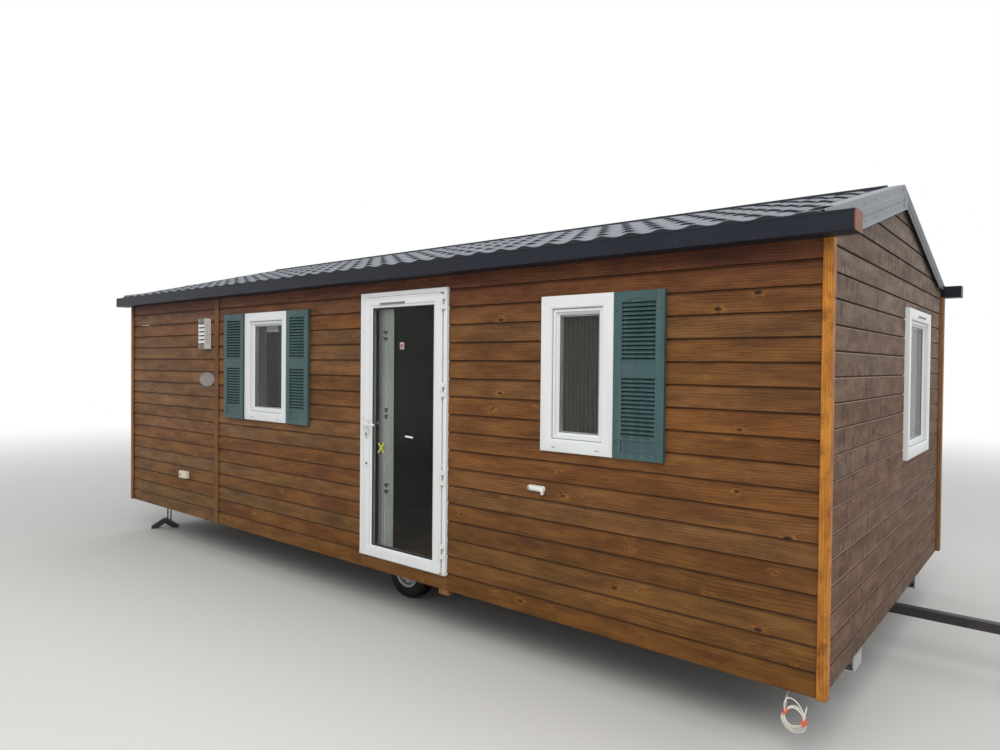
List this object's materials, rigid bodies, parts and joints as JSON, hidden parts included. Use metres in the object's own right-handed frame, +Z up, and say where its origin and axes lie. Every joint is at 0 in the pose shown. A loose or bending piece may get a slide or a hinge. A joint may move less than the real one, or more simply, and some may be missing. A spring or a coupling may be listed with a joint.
{
  "type": "tiny house on wheels",
  "caption": "Timber-clad tiny house with a pitched tile-effect roof, louvred shutters and a glazed door, on a single-axle trailer chassis with a drawbar",
  "frame": {"origin": "On the ground, midway between the gutters' left ends and the tow head's nose, in the middle of the house's width", "axes": "+X runs along the house towards the drawbar, -Y is the side of the door, +Z is up"},
  "size_m": [9.04, 3.924, 3.2403],
  "materials": {
    "stained_boards": "stained softwood boards, weathered, matt",
    "painted_boards": "thin brown-grey woodstain over rough-sawn boards, matt",
    "honey_timber": "honey-coloured glazed softwood",
    "dark_timber": "dark stained softwood",
    "floor_deck": "plain deck board",
    "tile_sheets": "tile-effect pressed sheet, satin",
    "anthracite_metal": "anthracite coated sheet, satin",
    "grey_flashing": "light grey coated flashing, satin",
    "white_frames": "white frame profiles, slightly soiled",
    "white_fittings": "white powder-coated fittings",
    "window_glass": "clear double glazing",
    "curtain_cloth": "gathered curtains and lace",
    "teal_shutters": "blue-green moulded shutters, satin",
    "bare_metal": "weathered plain plate",
    "cream_plastic": "cream moulded plastic",
    "galvanised_steel": "hot-dip galvanised, weathered, light rust",
    "dark_steel": "black paint, worn, with rust",
    "tyre_rubber": "aged tyre rubber",
    "rim_steel": "light grey painted pressed steel",
    "white_cable": "white cable sheath"
  },
  "bodies": {
    "house": {"front_wall_left": "stained_boards", "front_wall_right": "stained_boards", "front_wall_over_door": "stained_boards", "front_wall_under_door": "stained_boards", "back_wall": "stained_boards", "left_end_wall": "painted_boards", "right_end_wall": "painted_boards", "floor": "floor_deck", "roof_front": "tile_sheets", "roof_back": "tile_sheets", "ridge_cap": "anthracite_metal", "verge_flashings": "grey_flashing", "gutter_front": "anthracite_metal", "gutter_back": "anthracite_metal", "corner_posts": "honey_timber", "cover_batten": "dark_timber", "door_frame": "white_frames", "door_hinges": "white_fittings", "left_window": "white_frames", "left_window_glass": "window_glass", "right_window": "white_frames", "right_window_glass": "window_glass", "end_window": "white_frames", "end_window_glass": "window_glass", "rear_windows": "white_frames", "rear_windows_glass": "window_glass", "left_window_curtains": "curtain_cloth", "right_window_curtain": "curtain_cloth", "end_window_curtain": "curtain_cloth", "left_shutter_outer": "teal_shutters", "left_shutter_inner": "teal_shutters", "right_shutter": "teal_shutters", "flue_terminal": "white_fittings", "oval_plate": "bare_metal", "wall_fittings": "cream_plastic", "front_rail": "galvanised_steel", "back_rail": "galvanised_steel", "cross_members": "galvanised_steel", "axle": "dark_steel", "drawbar": "dark_steel", "stands": "dark_steel", "cable_lead": "white_cable", "cable_coil": "white_cable"},
    "door": {"door_leaf": "white_frames", "door_glass": "window_glass", "door_handle": "white_fittings", "door_curtain": "curtain_cloth"},
    "wheel_front": {"front_tyre": "tyre_rubber", "front_rim": "rim_steel"},
    "wheel_back": {"back_tyre": "tyre_rubber", "back_rim": "rim_steel"}
  },
  "joints": [
    {"name": "door_hinge", "type": "hinge", "parent": "house", "child": "door", "pos_m": [0.658, -1.866, 1.45], "axis": [0, 0, 1], "range_deg": [0, 110]},
    {"name": "wheel_front_spin", "type": "hinge", "parent": "house", "child": "wheel_front", "pos_m": [-0.22, -1.3, 0.225], "axis": [0, 1, 0], "continuous": true},
    {"name": "wheel_back_spin", "type": "hinge", "parent": "house", "child": "wheel_back", "pos_m": [-0.22, 1.3, 0.225], "axis": [0, 1, 0], "continuous": true}
  ]
}
